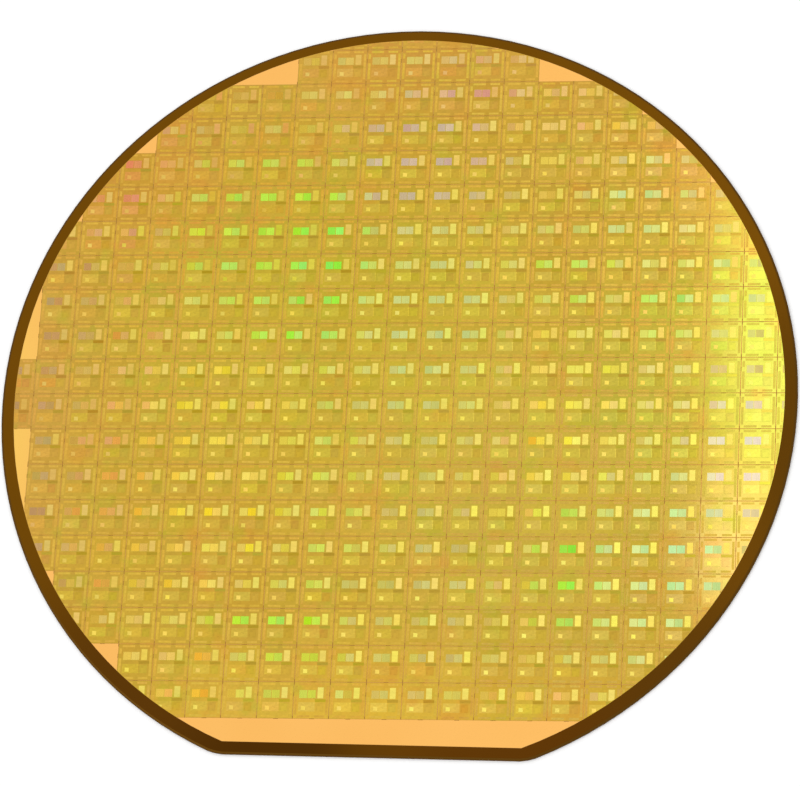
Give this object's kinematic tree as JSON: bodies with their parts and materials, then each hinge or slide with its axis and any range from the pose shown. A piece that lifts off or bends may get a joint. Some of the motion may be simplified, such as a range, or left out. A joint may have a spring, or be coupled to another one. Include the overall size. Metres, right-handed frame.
{
  "type": "silicon wafer",
  "caption": "Thin round silicon disc cut with a flat, carrying a gold-coloured film that stops short of its edge and a grid of rectangular dies with a memory block on each.",
  "frame": {"origin": "centre of the round rim, on the back face", "axes": "+Z out of the patterned face, the flat facing -Y, rows of dies along X within a degree"},
  "size_m": [0.15, 0.1443, 0.0007],
  "materials": {
    "silicon": "polished on the face, ground on the edge, matt etched on the back",
    "film": "smooth, mirror-like thin film",
    "dies": "finely patterned, glossy",
    "memory_blocks": "very finely patterned, iridescent"
  },
  "bodies": {
    "root": {"silicon_disc": "silicon", "film": "film", "dies": "dies", "memory_blocks": "memory_blocks"}
  },
  "joints": []
}
